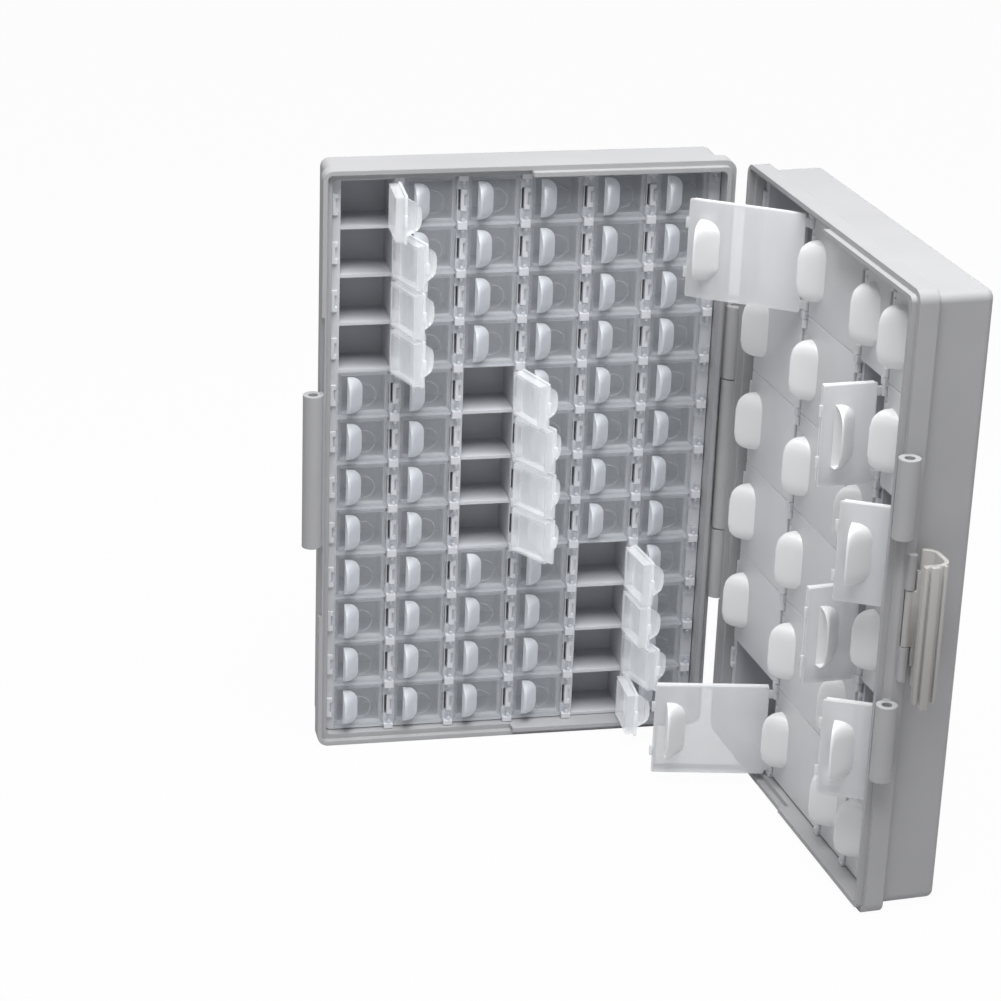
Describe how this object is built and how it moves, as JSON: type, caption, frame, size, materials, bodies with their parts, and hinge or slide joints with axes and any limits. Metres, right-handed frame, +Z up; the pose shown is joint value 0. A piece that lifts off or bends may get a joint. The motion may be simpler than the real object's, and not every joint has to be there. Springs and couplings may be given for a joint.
{
  "type": "compartment storage box",
  "caption": "Two-sided hinged storage box for crafts and small parts, with individually lidded compartments in both halves and a hook latch.",
  "frame": {"origin": "middle of the bottom flange face of the half with the small lids, where it stands", "axes": "+X across the small-lid half towards the spine hinge, +Y into its depth, +Z up along the hinge"},
  "size_m": [0.2179, 0.2128, 0.245],
  "materials": {
    "case": "fine satin moulded grey plastic",
    "tray": "satin moulded grey plastic",
    "lid": "milky translucent plastic",
    "latch": "satin moulded warm grey plastic",
    "pin": "plain steel rod"
  },
  "bodies": {
    "small_half": {"small_half_case": "case", "small_cell_tray": "tray", "hinge_pin": "pin"},
    "large_half": {"large_half_case": "case", "large_cell_tray": "tray"},
    "latch": {"latch": "latch"},
    "small_lid_c1_r1": {"small_lid_c1_r1": "lid"},
    "small_lid_c1_r2": {"small_lid_c1_r2": "lid"},
    "small_lid_c1_r3": {"small_lid_c1_r3": "lid"},
    "small_lid_c1_r4": {"small_lid_c1_r4": "lid"},
    "small_lids_c1_r5_to_r8": {"small_lids_c1_r5_to_r8": "lid"},
    "small_lids_c1_r9_to_r12": {"small_lids_c1_r9_to_r12": "lid"},
    "small_lids_c2_r1_to_r4": {"small_lids_c2_r1_to_r4": "lid"},
    "small_lids_c2_r5_to_r8": {"small_lids_c2_r5_to_r8": "lid"},
    "small_lids_c2_r9_to_r12": {"small_lids_c2_r9_to_r12": "lid"},
    "small_lids_c3_r1_to_r4": {"small_lids_c3_r1_to_r4": "lid"},
    "small_lid_c3_r5": {"small_lid_c3_r5": "lid"},
    "small_lid_c3_r6": {"small_lid_c3_r6": "lid"},
    "small_lid_c3_r7": {"small_lid_c3_r7": "lid"},
    "small_lid_c3_r8": {"small_lid_c3_r8": "lid"},
    "small_lids_c3_r9_to_r12": {"small_lids_c3_r9_to_r12": "lid"},
    "small_lids_c4_r1_to_r4": {"small_lids_c4_r1_to_r4": "lid"},
    "small_lids_c4_r5_to_r8": {"small_lids_c4_r5_to_r8": "lid"},
    "small_lids_c4_r9_to_r12": {"small_lids_c4_r9_to_r12": "lid"},
    "small_lids_c5_r1_to_r4": {"small_lids_c5_r1_to_r4": "lid"},
    "small_lids_c5_r5_to_r8": {"small_lids_c5_r5_to_r8": "lid"},
    "small_lid_c5_r9": {"small_lid_c5_r9": "lid"},
    "small_lid_c5_r10": {"small_lid_c5_r10": "lid"},
    "small_lid_c5_r11": {"small_lid_c5_r11": "lid"},
    "small_lid_c5_r12": {"small_lid_c5_r12": "lid"},
    "small_lids_c6_r1_to_r4": {"small_lids_c6_r1_to_r4": "lid"},
    "small_lids_c6_r5_to_r8": {"small_lids_c6_r5_to_r8": "lid"},
    "small_lids_c6_r9_to_r12": {"small_lids_c6_r9_to_r12": "lid"},
    "large_lid_c1_r1": {"large_lid_c1_r1": "lid"},
    "large_lid_c1_r2": {"large_lid_c1_r2": "lid"},
    "large_lid_c1_r3": {"large_lid_c1_r3": "lid"},
    "large_lid_c1_r4": {"large_lid_c1_r4": "lid"},
    "large_lid_c1_r5": {"large_lid_c1_r5": "lid"},
    "large_lid_c1_r6": {"large_lid_c1_r6": "lid"},
    "large_lid_c2_r1": {"large_lid_c2_r1": "lid"},
    "large_lid_c2_r2": {"large_lid_c2_r2": "lid"},
    "large_lid_c2_r3": {"large_lid_c2_r3": "lid"},
    "large_lid_c2_r4": {"large_lid_c2_r4": "lid"},
    "large_lid_c2_r5": {"large_lid_c2_r5": "lid"},
    "large_lid_c2_r6": {"large_lid_c2_r6": "lid"},
    "large_lid_c3_r1": {"large_lid_c3_r1": "lid"},
    "large_lid_c3_r2": {"large_lid_c3_r2": "lid"},
    "large_lid_c3_r3": {"large_lid_c3_r3": "lid"},
    "large_lid_c3_r4": {"large_lid_c3_r4": "lid"},
    "large_lid_c3_r5": {"large_lid_c3_r5": "lid"},
    "large_lid_c3_r6": {"large_lid_c3_r6": "lid"},
    "large_lid_c4_r1": {"large_lid_c4_r1": "lid"},
    "large_lid_c4_r2": {"large_lid_c4_r2": "lid"},
    "large_lid_c4_r3": {"large_lid_c4_r3": "lid"},
    "large_lid_c4_r4": {"large_lid_c4_r4": "lid"},
    "large_lid_c4_r5": {"large_lid_c4_r5": "lid"},
    "large_lid_c4_r6": {"large_lid_c4_r6": "lid"}
  },
  "joints": [
    {"name": "spine_hinge", "type": "hinge", "parent": "small_half", "child": "large_half", "pos_m": [0.0847, -0.00385, 0.1225], "axis": [0, 0, 1], "range_deg": [-40, 84.6]},
    {"name": "latch_hinge", "type": "hinge", "parent": "large_half", "child": "latch", "pos_m": [0.10621, -0.16976, 0.1225], "axis": [0, 0, 1], "range_deg": [-90, 15]},
    {"name": "small_lid_c1_r1_hinge", "type": "hinge", "parent": "small_half", "child": "small_lid_c1_r1", "pos_m": [-0.05093, 0.001, 0.2303], "axis": [0, 0, 1], "range_deg": [-88, 42]},
    {"name": "small_lid_c1_r2_hinge", "type": "hinge", "parent": "small_half", "child": "small_lid_c1_r2", "pos_m": [-0.05093, 0.001, 0.2107], "axis": [0, 0, 1], "range_deg": [-110, 20]},
    {"name": "small_lid_c1_r3_hinge", "type": "hinge", "parent": "small_half", "child": "small_lid_c1_r3", "pos_m": [-0.05093, 0.001, 0.1911], "axis": [0, 0, 1], "range_deg": [-108, 22]},
    {"name": "small_lid_c1_r4_hinge", "type": "hinge", "parent": "small_half", "child": "small_lid_c1_r4", "pos_m": [-0.05093, 0.001, 0.1715], "axis": [0, 0, 1], "range_deg": [-109, 21]},
    {"name": "small_lids_c1_r5_to_r8_hinge", "type": "hinge", "parent": "small_half", "child": "small_lids_c1_r5_to_r8", "pos_m": [-0.05093, 0.001, 0.1225], "axis": [0, 0, 1], "range_deg": [0, 130]},
    {"name": "small_lids_c1_r9_to_r12_hinge", "type": "hinge", "parent": "small_half", "child": "small_lids_c1_r9_to_r12", "pos_m": [-0.05093, 0.001, 0.0441], "axis": [0, 0, 1], "range_deg": [0, 130]},
    {"name": "small_lids_c2_r1_to_r4_hinge", "type": "hinge", "parent": "small_half", "child": "small_lids_c2_r1_to_r4", "pos_m": [-0.02579, 0.001, 0.2009], "axis": [0, 0, 1], "range_deg": [0, 4]},
    {"name": "small_lids_c2_r5_to_r8_hinge", "type": "hinge", "parent": "small_half", "child": "small_lids_c2_r5_to_r8", "pos_m": [-0.02579, 0.001, 0.1225], "axis": [0, 0, 1], "range_deg": [0, 130]},
    {"name": "small_lids_c2_r9_to_r12_hinge", "type": "hinge", "parent": "small_half", "child": "small_lids_c2_r9_to_r12", "pos_m": [-0.02579, 0.001, 0.0441], "axis": [0, 0, 1], "range_deg": [0, 130]},
    {"name": "small_lids_c3_r1_to_r4_hinge", "type": "hinge", "parent": "small_half", "child": "small_lids_c3_r1_to_r4", "pos_m": [-0.00065, 0.001, 0.2009], "axis": [0, 0, 1], "range_deg": [0, 130]},
    {"name": "small_lid_c3_r5_hinge", "type": "hinge", "parent": "small_half", "child": "small_lid_c3_r5", "pos_m": [-0.00065, 0.001, 0.1519], "axis": [0, 0, 1], "range_deg": [-109, 21]},
    {"name": "small_lid_c3_r6_hinge", "type": "hinge", "parent": "small_half", "child": "small_lid_c3_r6", "pos_m": [-0.00065, 0.001, 0.1323], "axis": [0, 0, 1], "range_deg": [-119, 11]},
    {"name": "small_lid_c3_r7_hinge", "type": "hinge", "parent": "small_half", "child": "small_lid_c3_r7", "pos_m": [-0.00065, 0.001, 0.1127], "axis": [0, 0, 1], "range_deg": [-121, 9]},
    {"name": "small_lid_c3_r8_hinge", "type": "hinge", "parent": "small_half", "child": "small_lid_c3_r8", "pos_m": [-0.00065, 0.001, 0.0931], "axis": [0, 0, 1], "range_deg": [-122, 8]},
    {"name": "small_lids_c3_r9_to_r12_hinge", "type": "hinge", "parent": "small_half", "child": "small_lids_c3_r9_to_r12", "pos_m": [-0.00065, 0.001, 0.0441], "axis": [0, 0, 1], "range_deg": [0, 130]},
    {"name": "small_lids_c4_r1_to_r4_hinge", "type": "hinge", "parent": "small_half", "child": "small_lids_c4_r1_to_r4", "pos_m": [0.02449, 0.001, 0.2009], "axis": [0, 0, 1], "range_deg": [0, 130]},
    {"name": "small_lids_c4_r5_to_r8_hinge", "type": "hinge", "parent": "small_half", "child": "small_lids_c4_r5_to_r8", "pos_m": [0.02449, 0.001, 0.1225], "axis": [0, 0, 1], "range_deg": [0, 4]},
    {"name": "small_lids_c4_r9_to_r12_hinge", "type": "hinge", "parent": "small_half", "child": "small_lids_c4_r9_to_r12", "pos_m": [0.02449, 0.001, 0.0441], "axis": [0, 0, 1], "range_deg": [0, 130]},
    {"name": "small_lids_c5_r1_to_r4_hinge", "type": "hinge", "parent": "small_half", "child": "small_lids_c5_r1_to_r4", "pos_m": [0.04963, 0.001, 0.2009], "axis": [0, 0, 1], "range_deg": [0, 130]},
    {"name": "small_lids_c5_r5_to_r8_hinge", "type": "hinge", "parent": "small_half", "child": "small_lids_c5_r5_to_r8", "pos_m": [0.04963, 0.001, 0.1225], "axis": [0, 0, 1], "range_deg": [0, 130]},
    {"name": "small_lid_c5_r9_hinge", "type": "hinge", "parent": "small_half", "child": "small_lid_c5_r9", "pos_m": [0.04963, 0.001, 0.0735], "axis": [0, 0, 1], "range_deg": [-98, 32]},
    {"name": "small_lid_c5_r10_hinge", "type": "hinge", "parent": "small_half", "child": "small_lid_c5_r10", "pos_m": [0.04963, 0.001, 0.0539], "axis": [0, 0, 1], "range_deg": [-97, 33]},
    {"name": "small_lid_c5_r11_hinge", "type": "hinge", "parent": "small_half", "child": "small_lid_c5_r11", "pos_m": [0.04963, 0.001, 0.0343], "axis": [0, 0, 1], "range_deg": [-110, 20]},
    {"name": "small_lid_c5_r12_hinge", "type": "hinge", "parent": "small_half", "child": "small_lid_c5_r12", "pos_m": [0.04963, 0.001, 0.0147], "axis": [0, 0, 1], "range_deg": [-89, 41]},
    {"name": "small_lids_c6_r1_to_r4_hinge", "type": "hinge", "parent": "small_half", "child": "small_lids_c6_r1_to_r4", "pos_m": [0.07477, 0.001, 0.2009], "axis": [0, 0, 1], "range_deg": [0, 100]},
    {"name": "small_lids_c6_r5_to_r8_hinge", "type": "hinge", "parent": "small_half", "child": "small_lids_c6_r5_to_r8", "pos_m": [0.07477, 0.001, 0.1225], "axis": [0, 0, 1], "range_deg": [0, 100]},
    {"name": "small_lids_c6_r9_to_r12_hinge", "type": "hinge", "parent": "small_half", "child": "small_lids_c6_r9_to_r12", "pos_m": [0.07477, 0.001, 0.0441], "axis": [0, 0, 1], "range_deg": [0, 4]},
    {"name": "large_lid_c1_r1_hinge", "type": "hinge", "parent": "large_half", "child": "large_lid_c1_r1", "pos_m": [0.09507, -0.06204, 0.2205], "axis": [0, 0, 1], "range_deg": [-52, 73]},
    {"name": "large_lid_c1_r2_hinge", "type": "hinge", "parent": "large_half", "child": "large_lid_c1_r2", "pos_m": [0.09507, -0.06204, 0.1813], "axis": [0, 0, 1], "range_deg": [0, 125]},
    {"name": "large_lid_c1_r3_hinge", "type": "hinge", "parent": "large_half", "child": "large_lid_c1_r3", "pos_m": [0.09507, -0.06204, 0.1421], "axis": [0, 0, 1], "range_deg": [0, 125]},
    {"name": "large_lid_c1_r4_hinge", "type": "hinge", "parent": "large_half", "child": "large_lid_c1_r4", "pos_m": [0.09507, -0.06204, 0.1029], "axis": [0, 0, 1], "range_deg": [0, 125]},
    {"name": "large_lid_c1_r5_hinge", "type": "hinge", "parent": "large_half", "child": "large_lid_c1_r5", "pos_m": [0.09507, -0.06204, 0.0637], "axis": [0, 0, 1], "range_deg": [0, 125]},
    {"name": "large_lid_c1_r6_hinge", "type": "hinge", "parent": "large_half", "child": "large_lid_c1_r6", "pos_m": [0.09507, -0.06204, 0.0245], "axis": [0, 0, 1], "range_deg": [-75, 50]},
    {"name": "large_lid_c2_r1_hinge", "type": "hinge", "parent": "large_half", "child": "large_lid_c2_r1", "pos_m": [0.0998, -0.1121, 0.2205], "axis": [0, 0, 1], "range_deg": [0, 125]},
    {"name": "large_lid_c2_r2_hinge", "type": "hinge", "parent": "large_half", "child": "large_lid_c2_r2", "pos_m": [0.0998, -0.1121, 0.1813], "axis": [0, 0, 1], "range_deg": [0, 125]},
    {"name": "large_lid_c2_r3_hinge", "type": "hinge", "parent": "large_half", "child": "large_lid_c2_r3", "pos_m": [0.0998, -0.1121, 0.1421], "axis": [0, 0, 1], "range_deg": [0, 125]},
    {"name": "large_lid_c2_r4_hinge", "type": "hinge", "parent": "large_half", "child": "large_lid_c2_r4", "pos_m": [0.0998, -0.1121, 0.1029], "axis": [0, 0, 1], "range_deg": [0, 125]},
    {"name": "large_lid_c2_r5_hinge", "type": "hinge", "parent": "large_half", "child": "large_lid_c2_r5", "pos_m": [0.0998, -0.1121, 0.0637], "axis": [0, 0, 1], "range_deg": [0, 125]},
    {"name": "large_lid_c2_r6_hinge", "type": "hinge", "parent": "large_half", "child": "large_lid_c2_r6", "pos_m": [0.0998, -0.1121, 0.0245], "axis": [0, 0, 1], "range_deg": [0, 125]},
    {"name": "large_lid_c3_r1_hinge", "type": "hinge", "parent": "large_half", "child": "large_lid_c3_r1", "pos_m": [0.10217, -0.13713, 0.2205], "axis": [0, 0, 1], "range_deg": [0, 115]},
    {"name": "large_lid_c3_r2_hinge", "type": "hinge", "parent": "large_half", "child": "large_lid_c3_r2", "pos_m": [0.10217, -0.13713, 0.1813], "axis": [0, 0, 1], "range_deg": [-88, 27]},
    {"name": "large_lid_c3_r3_hinge", "type": "hinge", "parent": "large_half", "child": "large_lid_c3_r3", "pos_m": [0.10217, -0.13713, 0.1421], "axis": [0, 0, 1], "range_deg": [0, 115]},
    {"name": "large_lid_c3_r4_hinge", "type": "hinge", "parent": "large_half", "child": "large_lid_c3_r4", "pos_m": [0.10217, -0.13713, 0.1029], "axis": [0, 0, 1], "range_deg": [-91, 24]},
    {"name": "large_lid_c3_r5_hinge", "type": "hinge", "parent": "large_half", "child": "large_lid_c3_r5", "pos_m": [0.10217, -0.13713, 0.0637], "axis": [0, 0, 1], "range_deg": [0, 115]},
    {"name": "large_lid_c3_r6_hinge", "type": "hinge", "parent": "large_half", "child": "large_lid_c3_r6", "pos_m": [0.10217, -0.13713, 0.0245], "axis": [0, 0, 1], "range_deg": [0, 115]},
    {"name": "large_lid_c4_r1_hinge", "type": "hinge", "parent": "large_half", "child": "large_lid_c4_r1", "pos_m": [0.10454, -0.16216, 0.2205], "axis": [0, 0, 1], "range_deg": [0, 105]},
    {"name": "large_lid_c4_r2_hinge", "type": "hinge", "parent": "large_half", "child": "large_lid_c4_r2", "pos_m": [0.10454, -0.16216, 0.1813], "axis": [0, 0, 1], "range_deg": [0, 105]},
    {"name": "large_lid_c4_r3_hinge", "type": "hinge", "parent": "large_half", "child": "large_lid_c4_r3", "pos_m": [0.10454, -0.16216, 0.1421], "axis": [0, 0, 1], "range_deg": [-57, 48]},
    {"name": "large_lid_c4_r4_hinge", "type": "hinge", "parent": "large_half", "child": "large_lid_c4_r4", "pos_m": [0.10454, -0.16216, 0.1029], "axis": [0, 0, 1], "range_deg": [0, 5]},
    {"name": "large_lid_c4_r5_hinge", "type": "hinge", "parent": "large_half", "child": "large_lid_c4_r5", "pos_m": [0.10454, -0.16216, 0.0637], "axis": [0, 0, 1], "range_deg": [-60, 45]},
    {"name": "large_lid_c4_r6_hinge", "type": "hinge", "parent": "large_half", "child": "large_lid_c4_r6", "pos_m": [0.10454, -0.16216, 0.0245], "axis": [0, 0, 1], "range_deg": [0, 105]}
  ]
}
